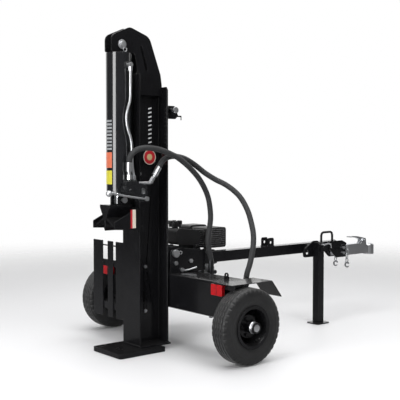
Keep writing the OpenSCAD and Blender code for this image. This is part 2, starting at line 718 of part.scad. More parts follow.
module chain_link(at, tilt, spin) translate(at) rotate([0, tilt, 0]) rotate([0, 0, spin]) {
    for (end = [-1, 1]) translate([0, 0, end * 10]) rotate([90, 0, 0]) rotate([0, 0, end > 0 ? 0 : 180])
        rotate_extrude(angle = 180, $fn = 32) translate([9, 0]) circle(d = 6.6, $fn = 16);
    for (x = [-9, 9]) translate([x, 0, -10]) cylinder(h = 20, d = 6.6, $fn = 16);
}

module safety_chains() color("#a9adb1") for (side = [-1, 1]) {
    chain_y = side * 52;
    top_z = 470;
    for (k = [0 : chain_links - 1])
        chain_link([chain_x, chain_y, top_z - chain_pitch * k], 0, k % 2 == 0 ? 0 : 90);
    // bolt through the first link
    y_rod(chain_x, side > 0 ? half_tongue() + 6 : -62, side > 0 ? 62 : -half_tongue() - 6, top_z + 11, 8);
    y_rod(chain_x, side > 0 ? 60 : -66, side > 0 ? 66 : -60, top_z + 11, 18, 6);
    // snap hook in the last link
    translate([chain_x, chain_y, top_z - chain_pitch * (chain_links - 1) - 28])
        rotate([90, 0, 0]) difference() {
            translate([0, 0, -4]) cylinder(h = 8, d = 44);
            translate([0, 0, -5]) cylinder(h = 10, d = 27);
            translate([4, -10, -5]) cube([30, 12, 10]);
        }
}

// ---------------------------------------------------------------- engine and pump

module engine_plate() color("#17181a") {
    difference() {
        box([tank_front, 96, 298], [640, 440, engine_base]);
        for (p = [[360, 150], [360, 400], [560, 150], [560, 400]]) z_rod(p[0], p[1], 290, 310, 10);
    }
    // deep gussets that carry the plate from the tank
    for (y = [96, 434])
        side_plate([[tank_front, 298, 0], [tank_front, 238, 0], [600, 284, 4], [600, 298, 0]], y, y + 6);
}

module engine_block() color("#3a3b3d") {
    difference() {
        union() {
            // crankcase on its foot
            side_plate([[352, engine_base, 8], [560, engine_base, 8], [560, 420, 20], [520, 500, 16],
                [352, 500, 24]], 128, 330);
            side_plate(box_rows(340, engine_base, 572, 320, 3), 140, 328);
            // posts under the fuel tank
            for (x = [360, 470]) box([x, 150, 498], [x + 16, 300, 549]);
        }
        y_rod(crank_x, 100, 345, crank_z, 40);
    }
    // finned cylinder and head, leaning toward the hitch
    translate([500, 190, 425]) rotate([0, fin_lean, 0]) {
        z_rod(0, 30, 0, 150, 92);
        for (k = [0 : 6]) flat_plate(box_rows(-50, -36, 48, 96, 12), 60 + 12 * k, 65 + 12 * k);
        flat_plate(box_rows(-48, -30, 44, 90, 14), 144, 172);
    }
    // carburettor beside the head
    box([590, 287, 440], [640, 325, 517]);
    x_rod(560, 600, 306, 470, 30);
}

module crankshaft() color("#8d9094") {
    y_rod(crank_x, 62, 372, crank_z, 25);
    difference() {
        y_rod(crank_x, 160, 300, crank_z, 30);
        y_rod(crank_x, 159, 301, crank_z, 24.6);
    }
    // flywheel with its fan
    difference() {
        y_rod(crank_x, 346, 376, crank_z, 190);
        y_rod(crank_x, 345, 377, crank_z, 24.6);
    }
    // coupling half toward the pump
    difference() {
        y_rod(crank_x, 66, 104, crank_z, 54);
        y_rod(crank_x, 65, 105, crank_z, 24.6);
    }
}

module fuel_tank() color("#111113") difference() {
    side_plate([[318, 560, 26], [505, 552, 26], [505, 640, 30], [318, 664, 30]], 122, 370);
    side_plate([[322, 564, 22], [501, 556, 22], [501, 636, 26], [322, 659, 26]], 126, 366);
    z_rod(380, 220, 640, 680, 40);
}

module fuel_cap() color("#0f0f10") {
    difference() {
        union() {
            z_rod(380, 220, 664, 684, 80);
            z_rod(380, 220, 645, 664, 40 - 2 * fit);
            for (k = [0 : 5]) translate([380, 220, 680]) rotate([0, 0, 60 * k])
                translate([34, 0, 0]) cylinder(h = 22, d = 26, $fn = 24);
            z_rod(380, 220, 680, 694, 66);
        }
        z_rod(380, 220, 640, 660, 32);
    }
}

module muffler() color("#55575a") {
    side_plate(box_rows(560, 535, 700, 640, 30), 150, 250);
    x_rod(698, 730, 200, 600, 26);
    z_rod(612, 200, 506, 540, 30);
}

module muffler_guard() color("#1b1c1e") {
    difference() {
        side_plate(box_rows(545, 525, 715, 652, 16), 122, 262);
        side_plate(box_rows(550, 530, 710, 647, 12), 127, 262.5);
        for (k = [0 : 6]) box([568, 110, 540 + 14 * k], [692, 130, 546 + 14 * k]);
        x_rod(700, 720, 200, 600, 30);
        box([590, 170, 520], [640, 230, 535]);
    }
}

module air_cleaner() color("#1a1b1d") {
    side_plate(box_rows(548, 520, 700, 660, 26), 290, 400);
    box([600, 300, 518], [632, 322, 522]);
}

module recoil_housing() color("#202123") difference() {
    y_rod(crank_x, 332, 424, crank_z + 2, 214, 64);
    y_rod(crank_x, 331, 418, crank_z + 2, 206, 64);
    y_rod(crank_x, 410, 430, crank_z, 40);
    for (k = [0 : 11]) translate([crank_x, 0, crank_z + 2]) rotate([0, 30 * k, 0])
        box([50, 410, -4], [90, 430, 4]);
    z_rod(crank_x - 60, 400, 480, 530, 12);
}

module recoil_grip() color("#0f0f10") {
    z_rod(crank_x - 60, 400, 336, 546, 6);
    x_rod(crank_x - 95, crank_x - 25, 400, 552, 20);
}

module throttle_lever() color("#c0c2c4") {
    y_rod(500, 402, 424, 530, 10);
    side_plate([[493, 524, 4], [507, 524, 4], [505, 572, 4], [497, 572, 4]], 416, 420);
}

module bell_housing() color("#9a9da0") difference() {
    union() {
        y_rod(crank_x, 108, 128, crank_z, 150, 64);
        y_rod(crank_x, 60, 110, crank_z, 84, 64);
        y_rod(crank_x, 52, 60, crank_z, 90, 64);
    }
    y_rod(crank_x, 50, 130, crank_z, 64, 64);
    box([crank_x - 14, 66, crank_z + 20], [crank_x + 14, 98, crank_z + 60]);
}

module gear_pump() color("#a5a8ab") {
    difference() {
        union() {
            side_plate(box_rows(crank_x - 40, crank_z - 44, crank_x + 40, crank_z + 40, 22), -52, 46);
            y_rod(crank_x, 44, 52, crank_z, 88, 64);
            y_rod(crank_x, 50, 56, crank_z, 40);
            x_rod(crank_x - 56, crank_x - 38, pump_mid_y, pump_inlet_z, 44);
        }
        x_rod(crank_x - 60, crank_x - 20, pump_mid_y, pump_inlet_z, 25);
        y_rod(crank_x, -60, -30, crank_z, 16);
    }
    // through bolts of the pump's sections
    for (a = [45, 135, 225, 315])
        y_rod(crank_x + 42 * cos(a) * 0.8, -58, -52, crank_z - 2 + 42 * sin(a) * 0.8, 13, 6);
}

module suction_hose() color("#222325") {
    swept_tube([[tank_front + 14, pump_mid_y, suction_z], [326, pump_mid_y, suction_z],
        [340, pump_mid_y, 389], [354, pump_mid_y, 399], [366, pump_mid_y, pump_inlet_z],
        [crank_x - 56, pump_mid_y, pump_inlet_z]], 36, [0, 1, 0], 16);
    difference() {
        x_rod(tank_front, tank_front + 14, pump_mid_y, suction_z, 40);
        x_rod(tank_front - 1, tank_front + 13, pump_mid_y, suction_z, 26);
    }
}

module trailer_hose_fittings() color("#2a2b2d") {
    // pressure elbow on the pump's end
    y_rod(crank_x, -70, -52, crank_z, 30, 6);
    y_rod(crank_x, -108, -70, crank_z, 24);
    x_rod(396 - 2, crank_x, -108, crank_z, 24);
    z_rod(396, -108, crank_z - 2, 440, 26);
    z_rod(396, -108, 436, 485, 34);
    // return elbow on the tank's front face
    x_rod(tank_front, tank_front + 22, -402, 360, 34, 6);
    x_rod(tank_front + 20, 410, -402, 360, 24);
    z_rod(408, -402, 358, 372, 26);
    z_rod(408, -402, 368, 414, 34);
    // drain plug under the tank
    z_rod(150, -400, tank_low - 13, tank_low, 26, 6);
    z_rod(150, -400, tank_low, tank_low + 12, 19.8);
}

module pressure_hose() color("#232426") swept_tube(pressure_route, hose_d, [0, 1, 0], 12);

module return_hose() color("#232426") swept_tube(return_route, hose_d, [0.3, 1, 0], 12);

i_beam();
foot_plate();
cylinder_mount_plates();
cylinder_pin();
cylinder_barrel();
cylinder_gland();
control_valve();
work_port_pipe();
beam_hose_fittings();
log_cradle();
web_bolts();
beam_latch_bracket();
pivot_lugs();
piston();
piston_rod();
rod_pin();
wedge_slide();
wedge();
valve_lever();
valve_spool();
beam_latch_pin();
hydraulic_tank();
tank_filler_cap();
axle_stubs();
fenders();
tail_lights();
tyre_right();
rim_right();
tyre_left();
rim_left();
tongue_tube();
pivot_bracket();
pivot_pin();
bracket_bolts();
tilt_lock_lever();
jack_mount();
jack_leg();
jack_pin();
grab_handle();
coupler_gusset();
coupler_body();
coupler_latch();
safety_chains();
engine_plate();
engine_block();
crankshaft();
fuel_tank();
fuel_cap();
muffler();
muffler_guard();
air_cleaner();
recoil_housing();
recoil_grip();
throttle_lever();
bell_housing();
gear_pump();
suction_hose();
trailer_hose_fittings();
pressure_hose();
return_hose();
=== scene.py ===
import math

import bmesh
import bpy
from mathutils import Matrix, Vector


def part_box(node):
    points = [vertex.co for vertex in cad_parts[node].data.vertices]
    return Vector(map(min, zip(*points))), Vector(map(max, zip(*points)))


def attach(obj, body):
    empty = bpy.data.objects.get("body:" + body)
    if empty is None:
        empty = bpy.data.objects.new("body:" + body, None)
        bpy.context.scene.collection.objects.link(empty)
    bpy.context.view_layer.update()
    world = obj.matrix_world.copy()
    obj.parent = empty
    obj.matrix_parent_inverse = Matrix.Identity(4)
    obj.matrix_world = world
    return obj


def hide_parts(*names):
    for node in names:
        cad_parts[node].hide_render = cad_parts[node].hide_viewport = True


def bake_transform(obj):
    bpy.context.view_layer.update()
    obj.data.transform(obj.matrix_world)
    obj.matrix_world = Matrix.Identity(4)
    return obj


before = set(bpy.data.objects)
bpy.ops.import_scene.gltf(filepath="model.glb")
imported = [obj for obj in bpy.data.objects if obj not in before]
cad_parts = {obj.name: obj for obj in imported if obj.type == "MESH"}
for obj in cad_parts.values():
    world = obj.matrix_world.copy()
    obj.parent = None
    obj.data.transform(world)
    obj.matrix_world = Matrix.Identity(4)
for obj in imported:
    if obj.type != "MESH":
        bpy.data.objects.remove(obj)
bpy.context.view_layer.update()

# ---------------------------------------------------------------- studio
# A pale floor that fades into a white surround, lit by a tall soft box beside the cylinder,
# a wide one overhead, a third high on the right, and the bright backdrop behind the machine.

floor_reach, floor_drop = 9.0, 0.0005
backdrop_way = (math.cos(math.radians(50)), math.sin(math.radians(50)), 0.12)

camera_data = bpy.data.cameras.new("camera")
camera_data.lens = 71.55
camera_data.sensor_width = 36
camera = bpy.data.objects.new("camera", camera_data)
bpy.context.collection.objects.link(camera)
camera_yaw, camera_dip = math.radians(50.59), math.radians(2.6)
camera.location = (-2.627, -3.684, 1.0535)
camera.rotation_euler = Vector((
    math.cos(camera_dip) * math.cos(camera_yaw),
    math.cos(camera_dip) * math.sin(camera_yaw),
    -math.sin(camera_dip))).to_track_quat("-Z", "Y").to_euler()
bpy.context.scene.camera = camera
bpy.context.scene.view_settings.view_transform = "Standard"


def add_node(tree, kind, settings=None, **inputs):
    """Adds a node, sets its options, and fills or links its inputs by socket name."""
    node = tree.nodes.new(kind)
    for option, value in (settings or {}).items():
        setattr(node, option, value)
    for socket, value in inputs.items():
        target = node.inputs[int(socket[1:])] if socket[0] == "_" else \
            node.inputs[socket.replace("_", " ")]
        if isinstance(value, bpy.types.NodeSocket):
            tree.links.new(value, target)
        else:
            target.default_value = value
    return node


def soft_box(name, place, aim, wide, tall, power):
    light = bpy.data.lights.new(name, "AREA")
    light.shape = "RECTANGLE"
    light.size, light.size_y, light.energy = wide, tall, power
    box = bpy.data.objects.new(name, light)
    box.location = place
    box.rotation_euler = (Vector(aim) - Vector(place)).to_track_quat("-Z", "Y").to_euler()
    bpy.context.collection.objects.link(box)


soft_box("side_box", (-3.3, -0.95, 1.3), (-0.18, 0, 1.2), 1.5, 3.0, 95)
soft_box("top_box", (0.2, -0.6, 4.8), (0.5, 0, 0), 4.5, 4.5, 210)
soft_box("front_box", (-0.2, -4.6, 4.0), (0.5, -0.2, 0.4), 2.5, 1.6, 90)

world = bpy.data.worlds.new("studio")
bpy.context.scene.world = world
world.use_nodes = True
room = world.node_tree
room.nodes.clear()
way = add_node(room, "ShaderNodeTexCoord").outputs["Generated"]
facing = add_node(room, "ShaderNodeVectorMath", {"operation": "DOT_PRODUCT"}, _0=way, _1=backdrop_way)
glow = add_node(room, "ShaderNodeMapRange", {"interpolation_type": "SMOOTHSTEP"},
                Value=facing.outputs["Value"], From_Min=0.30, From_Max=0.90, To_Min=0.07, To_Max=1.25)
lit = add_node(room, "ShaderNodeBackground", Strength=glow.outputs["Result"])
seen = add_node(room, "ShaderNodeBackground", Strength=1.0)
seen.inputs["Color"].default_value = lit.inputs["Color"].default_value = (1, 1, 1, 1)
either = add_node(room, "ShaderNodeMixShader",
                  _0=add_node(room, "ShaderNodeLightPath").outputs["Is Camera Ray"],
                  _1=lit.outputs[0], _2=seen.outputs[0])
add_node(room, "ShaderNodeOutputWorld", Surface=either.outputs[0])

bpy.ops.mesh.primitive_circle_add(vertices=96, radius=floor_reach, fill_type="NGON",
                                  location=(0.6, 0, -floor_drop))
floor = bpy.context.object
floor.name = "floor"
floor_paint = bpy.data.materials.new("floor_paint")
floor_paint.use_nodes = True
ground = floor_paint.node_tree
place = add_node(ground, "ShaderNodeTexCoord").outputs["Object"]
reach = add_node(ground, "ShaderNodeVectorMath", {"operation": "LENGTH"}, _0=place)
fade = add_node(ground, "ShaderNodeMapRange", {"interpolation_type": "SMOOTHSTEP"},
                Value=reach.outputs["Value"], From_Min=2.2, From_Max=6.5, To_Min=1.0, To_Max=0.0)
floor_shader = ground.nodes["Principled BSDF"]
floor_shader.inputs["Base Color"].default_value = (0.80, 0.80, 0.81, 1)
floor_shader.inputs["Roughness"].default_value = 0.55
mirrored = add_node(ground, "ShaderNodeMapRange", To_Min=1.0, To_Max=0.3,
                    Value=add_node(ground, "ShaderNodeLightPath").outputs["Is Glossy Ray"])
opacity = add_node(ground, "ShaderNodeMath", {"operation": "MULTIPLY"},
                   _0=fade.outputs["Result"], _1=mirrored.outputs["Result"])
ground.links.new(opacity.outputs["Value"], floor_shader.inputs["Alpha"])
floor.data.materials.append(floor_paint)

# ---------------------------------------------------------------- hydraulic hoses
# Two rubber hoses in woven nylon sleeves, pressed into steel ends. The pressure hose runs
# from the valve's top to the pump, and the return hose from the valve to the oil tank.

hose_radius = 0.016
ring_spacing = 0.009
pressure_route = [
    (-0.184, -0.106, 1.062), (-0.183, -0.108, 1.080), (-0.176, -0.113, 1.100), (-0.160, -0.118, 1.119),
    (-0.136, -0.122, 1.133), (-0.105, -0.126, 1.140), (-0.068, -0.130, 1.141), (-0.020, -0.133, 1.136),
    (0.035, -0.134, 1.123), (0.088, -0.134, 1.105), (0.140, -0.132, 1.083), (0.225, -0.126, 1.028),
    (0.308, -0.117, 0.955), (0.370, -0.110, 0.860), (0.392, -0.108, 0.752), (0.382, -0.110, 0.672),
    (0.373, -0.110, 0.605), (0.378, -0.109, 0.555), (0.390, -0.108, 0.512), (0.396, -0.108, 0.485)]
return_route = [
    (0.018, -0.102, 1.035), (0.033, -0.102, 1.0575), (0.054, -0.102, 1.078), (0.082, -0.102, 1.091),
    (0.112, -0.098, 1.096), (0.150, -0.091, 1.096), (0.213, -0.088, 1.084), (0.280, -0.094, 1.050),
    (0.340, -0.114, 1.003), (0.395, -0.146, 0.963), (0.442, -0.185, 0.932), (0.475, -0.230, 0.892),
    (0.492, -0.270, 0.848), (0.502, -0.310, 0.784), (0.502, -0.340, 0.718), (0.493, -0.368, 0.656),
    (0.477, -0.386, 0.600), (0.455, -0.398, 0.540), (0.432, -0.404, 0.484), (0.415, -0.404, 0.445),
    (0.408, -0.402, 0.414)]


def smooth_route(points, spacing):
    """Points along one smooth curve through the given ones, about spacing apart."""
    ends = [Vector(p) for p in points]
    ends = [2 * ends[0] - ends[1]] + ends + [2 * ends[-1] - ends[-2]]
    line = []
    for a, b, c, d in zip(ends, ends[1:], ends[2:], ends[3:]):
        steps = max(1, round((c - b).length / spacing))
        for k in range(steps):
            t = k / steps
            line.append(0.5 * (2 * b + (c - a) * t + (2 * a - 5 * b + 4 * c - d) * t * t
                               + (3 * b - a - 3 * c + d) * t ** 3))
    return line + [ends[-2]]


def new_piece(name, mesh_parts, material, smooth=True):
    """A mesh object from a filled bmesh, with one material."""
    mesh = bpy.data.meshes.new(name)
    mesh_parts.to_mesh(mesh)
    mesh_parts.free()
    mesh.materials.append(material)
    for face in mesh.polygons:
        face.use_smooth = smooth
    piece = bpy.data.objects.new(name, mesh)
    bpy.context.collection.objects.link(piece)
    return piece


def sweep(shape, line, radius, sides, swell=None):
    """Adds a closed round tube along a line to a bmesh; swell(distance) scales its radius."""
    uv = shape.loops.layers.uv.verify()
    along = (line[1] - line[0]).normalized()
    side = along.orthogonal().normalized()
    rings, run, runs = [], 0.0, []
    for k, centre in enumerate(line):
        before, after = line[max(k - 1, 0)], line[min(k + 1, len(line) - 1)]
        turn = (after - before).normalized()
        side = (side - turn * side.dot(turn)).normalized()
        other = turn.cross(side)
        run += (centre - before).length
        runs.append(run)
        r = radius * (swell(run) if swell else 1)
        rings.append([shape.verts.new(centre + r * (side * math.cos(a) + other * math.sin(a)))
                      for a in (2 * math.pi * s / sides for s in range(sides))])
    for k, (ring, following) in enumerate(zip(rings, rings[1:])):
        for s in range(sides):
            n = (s + 1) % sides
            face = shape.faces.new((ring[s], ring[n], following[n], following[s]))
            for loop, (u, v) in zip(face.loops, ((s, k), (s + 1, k), (s + 1, k + 1), (s, k + 1))):
                loop[uv].uv = (u / sides, runs[v])
    shape.faces.new(list(reversed(rings[0])))
    shape.faces.new(rings[-1])
    return shape


def new_group(name, inputs, outputs):
    """An empty shader group with named sockets; returns it with its input and output nodes."""
    group = bpy.data.node_groups.new(name, "ShaderNodeTree")
    kinds = {float: "NodeSocketFloat", tuple: "NodeSocketColor"}
    for socket, value in inputs.items():
        made = group.interface.new_socket(socket, in_out="INPUT", socket_type=kinds[type(value)])
        made.default_value = value
    for socket, kind in outputs.items():
        group.interface.new_socket(socket, in_out="OUTPUT", socket_type=kinds[kind])
    return group, group.nodes.new("NodeGroupInput"), group.nodes.new("NodeGroupOutput")


def maths(tree, operation, a, b=0.0):
    return add_node(tree, "ShaderNodeMath", {"operation": operation}, _0=a, _1=b).outputs[0]


# Woven sleeve: strands that cross at a slant, from two slanted sine waves, with a gap mask that the
# sleeve uses for painted shade between the strands.
sleeve_weave, start, end = new_group(
    "sleeve_weave", {"Strands": 14.0, "Per metre": 150.0}, {"Height": float, "Gap": float})
spot = add_node(sleeve_weave, "ShaderNodeSeparateXYZ",
                Vector=add_node(sleeve_weave, "ShaderNodeTexCoord").outputs["UV"])
round_turn = maths(sleeve_weave, "MULTIPLY", spot.outputs["X"], start.outputs["Strands"])
down_turn = maths(sleeve_weave, "MULTIPLY", spot.outputs["Y"], start.outputs["Per metre"])
strand_a = maths(sleeve_weave, "SINE", maths(sleeve_weave, "MULTIPLY",
                 maths(sleeve_weave, "ADD", round_turn, down_turn), 2 * math.pi))
strand_b = maths(sleeve_weave, "SINE", maths(sleeve_weave, "MULTIPLY",
                 maths(sleeve_weave, "SUBTRACT", round_turn, down_turn), 2 * math.pi))
over = maths(sleeve_weave, "MAXIMUM", strand_a, strand_b)
raised = add_node(sleeve_weave, "ShaderNodeMapRange", Value=over, From_Min=-0.6, From_Max=1.0)
weave_gap_shade = add_node(sleeve_weave, "ShaderNodeMapRange", Value=over, From_Min=0.3, From_Max=-0.4)
sleeve_weave.links.new(raised.outputs["Result"], end.inputs["Height"])
sleeve_weave.links.new(weave_gap_shade.outputs["Result"], end.inputs["Gap"])

# Soft patches: a finish whose tone, gloss and height wander a little over the surface.
patches, start, end = new_group(
    "patches", {"Colour": (0.02, 0.02, 0.02, 1.0), "Patch size": 8.0, "Tone": 0.15,
                "Gloss": 0.25, "Gloss spread": 0.06, "Grain size": 300.0},
    {"Colour": tuple, "Roughness": float, "Height": float})
spot = add_node(patches, "ShaderNodeTexCoord").outputs["Object"]
cloud = add_node(patches, "ShaderNodeTexNoise", Vector=spot, Scale=start.outputs["Patch size"],
                 Detail=4.0, Roughness=0.6)
darkest = maths(patches, "SUBTRACT", 1.0, start.outputs["Tone"])
lightest = maths(patches, "ADD", 1.0, start.outputs["Tone"])
tone = add_node(patches, "ShaderNodeMapRange", Value=cloud.outputs["Fac"], From_Min=0.3, From_Max=0.7,
                To_Min=darkest, To_Max=lightest)
tinted = add_node(patches, "ShaderNodeHueSaturation", Color=start.outputs["Colour"],
                  Value=tone.outputs["Result"])
smear = add_node(patches, "ShaderNodeTexNoise", Vector=spot,
                 Scale=maths(patches, "MULTIPLY", start.outputs["Patch size"], 2.7), Detail=6.0)
glossy = add_node(patches, "ShaderNodeMapRange", Value=smear.outputs["Fac"],
                  From_Min=0.3, From_Max=0.7,
                  To_Min=maths(patches, "SUBTRACT", start.outputs["Gloss"],
                               start.outputs["Gloss spread"]),
                  To_Max=maths(patches, "ADD", start.outputs["Gloss"],
                               start.outputs["Gloss spread"]))
grain = add_node(patches, "ShaderNodeTexNoise", Vector=spot, Scale=start.outputs["Grain size"],
                 Detail=2.0)
patches.links.new(tinted.outputs["Color"], end.inputs["Colour"])
patches.links.new(glossy.outputs["Result"], end.inputs["Roughness"])
patches.links.new(grain.outputs["Fac"], end.inputs["Height"])

# Rubbed edges: corners where a finish has worn thin, broken up by noise.
rubbed_edge, start, end = new_group(
    "rubbed_edge", {"Colour": (0.02, 0.02, 0.02, 1.0), "Bare": (0.3, 0.3, 0.3, 1.0),
                    "Amount": 0.5, "Width": 0.002}, {"Colour": tuple, "Edge": float})
rounded = add_node(rubbed_edge, "ShaderNodeBevel", {"samples": 4}, Radius=start.outputs["Width"])
flat_way = add_node(rubbed_edge, "ShaderNodeNewGeometry").outputs["Normal"]
agree = add_node(rubbed_edge, "ShaderNodeVectorMath", {"operation": "DOT_PRODUCT"},
                 _0=rounded.outputs["Normal"], _1=flat_way)
corner = add_node(rubbed_edge, "ShaderNodeMapRange", Value=agree.outputs["Value"],
                  From_Min=0.985, From_Max=0.80)
breaks = add_node(rubbed_edge, "ShaderNodeTexNoise",
                  Vector=add_node(rubbed_edge, "ShaderNodeTexCoord").outputs["Object"],
                  Scale=60.0, Detail=6.0)
broken = add_node(rubbed_edge, "ShaderNodeMapRange", Value=breaks.outputs["Fac"],
                  From_Min=0.42, From_Max=0.62)
worn = maths(rubbed_edge, "MULTIPLY", maths(rubbed_edge, "MULTIPLY", corner.outputs["Result"],
             broken.outputs["Result"]), start.outputs["Amount"])
shown = add_node(rubbed_edge, "ShaderNodeMix", {"data_type": "RGBA"}, _0=worn,
                 _6=start.outputs["Colour"], _7=start.outputs["Bare"])
rubbed_edge.links.new(shown.outputs[2], end.inputs["Colour"])
rubbed_edge.links.new(worn, end.inputs["Edge"])

# Workshop dust: a pale film that lies on faces turned upward.
settled_dust, start, end = new_group(
    "settled_dust", {"Colour": (0.02, 0.02, 0.02, 1.0), "Dust": (0.30, 0.29, 0.27, 1.0), "Amount": 0.2},
    {"Colour": tuple, "Film": float})
upward = add_node(settled_dust, "ShaderNodeSeparateXYZ",
                  Vector=add_node(settled_dust, "ShaderNodeNewGeometry").outputs["Normal"])
drift = add_node(settled_dust, "ShaderNodeTexNoise",
                 Vector=add_node(settled_dust, "ShaderNodeTexCoord").outputs["Object"],
                 Scale=14.0, Detail=8.0, Roughness=0.65)
shelf = add_node(settled_dust, "ShaderNodeMapRange", Value=upward.outputs["Z"],
                 From_Min=0.3, From_Max=1.0)
film = maths(settled_dust, "MULTIPLY", maths(settled_dust, "MULTIPLY", shelf.outputs["Result"],
             drift.outputs["Fac"]), start.outputs["Amount"])
shown = add_node(settled_dust, "ShaderNodeMix", {"data_type": "RGBA"}, _0=film,
                 _6=start.outputs["Colour"], _7=start.outputs["Dust"])
settled_dust.links.new(shown.outputs[2], end.inputs["Colour"])
settled_dust.links.new(film, end.inputs["Film"])


def new_finish(name, colour, roughness, **fixed):
    """A material with a plain shader; fixed names its other sockets, such as Metallic."""
    finish = bpy.data.materials.new(name)
    finish.use_nodes = True
    shader = finish.node_tree.nodes["Principled BSDF"]
    shader.inputs["Base Color"].default_value = (*colour, 1)
    shader.inputs["Roughness"].default_value = roughness
    for socket, value in fixed.items():
        shader.inputs[socket.replace("_", " ")].default_value = value
    return finish, finish.node_tree, shader


def place_group(tree, group, **inputs):
    node = add_node(tree, "ShaderNodeGroup", {"node_tree": group})
    for socket, value in inputs.items():
        target = node.inputs[socket.replace("_", " ")]
        if isinstance(value, bpy.types.NodeSocket):
            tree.links.new(value, target)
        else:
            target.default_value = (*value, 1) if isinstance(value, tuple) else value
    return node


def raise_surface(tree, shader, height, distance):
    bump = add_node(tree, "ShaderNodeBump", Height=height, Distance=distance, Strength=1.0)
    tree.links.new(bump.outputs["Normal"], shader.inputs["Normal"])


def patchy_finish(name, colour, roughness, tone=0.15, spread=0.06, patch=8.0, grain=300.0,
                  height=0.0001, bare=None, wear=0.5, edge=0.002, dust=0.0, **fixed):
    """A finish with soft patches and a fine grain, and rubbed edges or dust where asked."""
    finish, tree, shader = new_finish(name, colour, roughness, **fixed)
    base = place_group(tree, patches, Colour=colour, Patch_size=patch, Tone=tone, Gloss=roughness,
                       Gloss_spread=spread, Grain_size=grain)
    shown, gloss = base.outputs["Colour"], base.outputs["Roughness"]
    if bare:
        rubbed = place_group(tree, rubbed_edge, Colour=shown, Bare=bare, Amount=wear, Width=edge)
        shown = rubbed.outputs["Colour"]
        gloss = maths(tree, "ADD", gloss, maths(tree, "MULTIPLY", rubbed.outputs["Edge"], 0.15))
    if dust:
        dusty = place_group(tree, settled_dust, Colour=shown, Amount=dust)
        shown = dusty.outputs["Colour"]
        gloss = maths(tree, "ADD", gloss, dusty.outputs["Film"])
    tree.links.new(shown, shader.inputs["Base Color"])
    tree.links.new(gloss, shader.inputs["Roughness"])
    raise_surface(tree, shader, base.outputs["Height"], height)
    return finish


sleeve, tree, shader = new_finish("woven_sleeve", (0.022, 0.023, 0.025), 0.62, Sheen_Weight=0.08)
weave = place_group(tree, sleeve_weave, Strands=14.0, Per_metre=150.0)
yarn = place_group(tree, patches, Colour=(0.026, 0.027, 0.029), Patch_size=22.0, Tone=0.25,
                   Gloss=0.62, Gloss_spread=0.08, Grain_size=900.0)
# The gaps between strands are painted near black, darker than the rubber beneath: painted shade in the
# weave's hollows.
sleeve_gap_shade = add_node(tree, "ShaderNodeMix", {"data_type": "RGBA"}, _0=weave.outputs["Gap"],
                   _6=yarn.outputs["Colour"], _7=(0.006, 0.006, 0.007, 1))
tree.links.new(sleeve_gap_shade.outputs[2], shader.inputs["Base Color"])
tree.links.new(yarn.outputs["Roughness"], shader.inputs["Roughness"])
raise_surface(tree, shader, weave.outputs["Height"], 0.0007)

for name, route in (("pressure_hose", pressure_route), ("return_hose", return_route)):
    line = smooth_route(route, ring_spacing)
    hose = new_piece(name + "_sleeved", sweep(bmesh.new(), line, hose_radius, 24), sleeve)
    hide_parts(name)
    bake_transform(hose)

# ---------------------------------------------------------------- beam and foot
# A rolled steel I-beam welded to a thick foot plate, with lugs for its pivot, all sprayed
# with one coat of gloss black powder and baked.

black_coat = patchy_finish(
    "black_coat", (0.0075, 0.0075, 0.0085), 0.21, tone=0.25, spread=0.05, patch=5.0, grain=420.0,
    height=0.00004, bare=(0.10, 0.10, 0.105), wear=0.6, edge=0.0016, dust=0.04,
    Specular_IOR_Level=0.26, Coat_Weight=0.12, Coat_Roughness=0.05)


def dress(material, *names, edge=0.0008):
    """Gives CAD nodes their finish, and rounds their sharp corners as a real edge is."""
    for name in names:
        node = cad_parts[name]
        for place in node.material_slots:
            place.material = material
        for face in node.data.polygons:
            face.use_smooth = True
        join = node.modifiers.new("join", "WELD")
        join.merge_threshold = 0.00001
        if edge:
            rounding = node.modifiers.new("round", "BEVEL")
            rounding.width, rounding.segments = edge, 2
            rounding.limit_method, rounding.angle_limit = "ANGLE", math.radians(38)
            rounding.use_clamp_overlap = False
            rounding.miter_outer = "MITER_ARC"
        even = node.modifiers.new("even", "WEIGHTED_NORMAL")
        even.keep_sharp = False


dress(black_coat, "foot_plate", "pivot_lugs", "beam_latch_bracket", "log_cradle",
      "cylinder_mount_plates")
dress(black_coat, "i_beam", edge=0.0036)


def weld_run(name, body, a, b, size=0.0045, ripple=0.0042):
    """A weld bead from a to b, with the overlapping scales that a welder leaves."""
    a, b = Vector(a), Vector(b)
    count = max(4, round((b - a).length / (ripple / 3)))
    line = [a.lerp(b, k / count) for k in range(count + 1)]
    bead = sweep(bmesh.new(), line, size, 8,
                 lambda run: 1 - 0.16 * abs(math.sin(math.pi * run / ripple)))
    piece = new_piece(name, bead, black_coat)
    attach(piece, body)


foot_top, flange_x, flange_half = 0.036, 0.1005, 0.082
web_half_long, web_half_thick = 0.09, 0.004
plate_x, plate_y, plate_low, plate_high = -0.0895, 0.0358, 1.440, 1.548
for side, flange, hand in ((-1, "front", "right"), (1, "back", "left")):
    weld_run(f"foot_weld_flange_{flange}", "beam",
             (side * flange_x, -flange_half, foot_top), (side * flange_x, flange_half, foot_top))
    weld_run(f"foot_weld_web_{hand}", "beam",
             (-web_half_long, side * web_half_thick, foot_top),
             (web_half_long, side * web_half_thick, foot_top))
    weld_run(f"mount_weld_{hand}", "beam",
             (plate_x, side * plate_y, plate_low), (plate_x, side * plate_y, plate_high))

zinc = patchy_finish(
    "zinc_plate", (0.76, 0.77, 0.79), 0.36, tone=0.05, spread=0.05, patch=16.0, grain=700.0,
    height=0.00002, Metallic=1.0)
dress(zinc, "web_bolts", "beam_latch_pin", edge=0.0004)

# ---------------------------------------------------------------- cylinder and ram
# A drawn steel barrel in gloss black with a chromed rod, hung on one pin between the two
# mount plates, and the fabricated wedge that its rod pushes down the beam.

